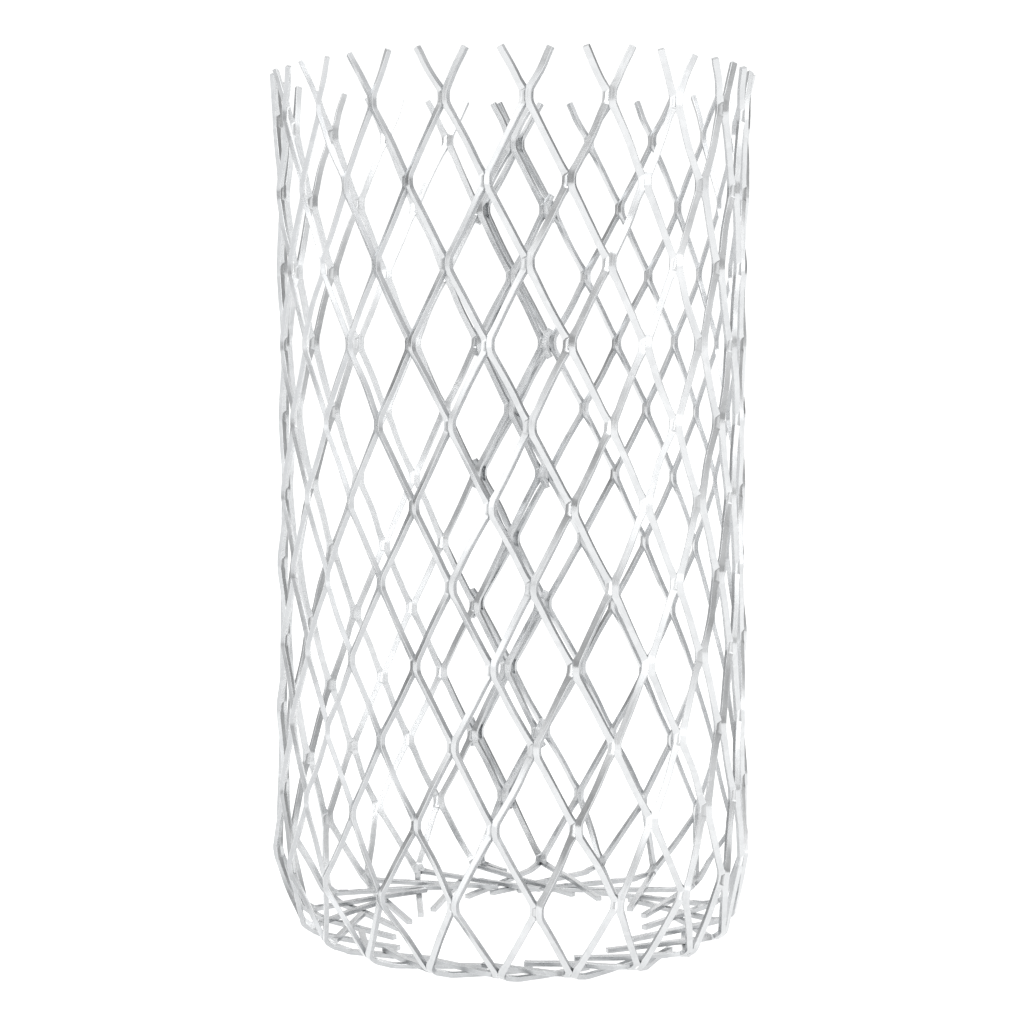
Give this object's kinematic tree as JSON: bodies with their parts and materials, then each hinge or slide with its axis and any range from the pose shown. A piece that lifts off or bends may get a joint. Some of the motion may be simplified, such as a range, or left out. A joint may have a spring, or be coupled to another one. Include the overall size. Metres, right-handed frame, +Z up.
{
  "type": "tree guard tube",
  "caption": "Open cylinder of expanded metal mesh that guards a young tree's trunk or roots; the bottom edge is folded in as an open floor of free strand ends.",
  "frame": {"origin": "centre of the base, on the plane that the floor strands rest on", "axes": "+Z up the tube to the open rim, +Y towards the lap seam at the back, -Y the front seen in the picture"},
  "size_m": [0.1666, 0.1774, 0.2923],
  "materials": {
    "galvanised_steel": "bright galvanised, semi-gloss"
  },
  "bodies": {
    "root": {"mesh_strand_01": "galvanised_steel", "mesh_strand_02": "galvanised_steel", "mesh_strand_03": "galvanised_steel", "mesh_strand_04": "galvanised_steel", "mesh_strand_05": "galvanised_steel", "mesh_strand_06": "galvanised_steel", "mesh_strand_07": "galvanised_steel", "mesh_strand_08": "galvanised_steel", "mesh_strand_09": "galvanised_steel", "mesh_strand_10": "galvanised_steel", "mesh_strand_11": "galvanised_steel", "mesh_strand_12": "galvanised_steel", "mesh_strand_13": "galvanised_steel", "mesh_strand_14": "galvanised_steel", "mesh_strand_15": "galvanised_steel", "mesh_strand_16": "galvanised_steel", "mesh_strand_17": "galvanised_steel", "mesh_strand_18": "galvanised_steel", "mesh_strand_19": "galvanised_steel", "mesh_strand_20": "galvanised_steel", "mesh_strand_21": "galvanised_steel", "mesh_strand_22": "galvanised_steel", "mesh_strand_23": "galvanised_steel", "mesh_strand_24": "galvanised_steel", "mesh_strand_25": "galvanised_steel", "mesh_strand_26": "galvanised_steel", "mesh_strand_27": "galvanised_steel", "mesh_strand_28": "galvanised_steel", "mesh_strand_29": "galvanised_steel", "mesh_strand_30": "galvanised_steel", "mesh_strand_31": "galvanised_steel", "mesh_strand_32": "galvanised_steel", "mesh_strand_33": "galvanised_steel", "mesh_strand_34": "galvanised_steel", "mesh_strand_35": "galvanised_steel", "mesh_strand_36": "galvanised_steel", "mesh_strand_37": "galvanised_steel", "mesh_strand_38": "galvanised_steel", "mesh_strand_39": "galvanised_steel", "mesh_strand_40": "galvanised_steel", "mesh_strand_41": "galvanised_steel", "mesh_strand_42": "galvanised_steel", "seam_stubs": "galvanised_steel"}
  },
  "joints": []
}
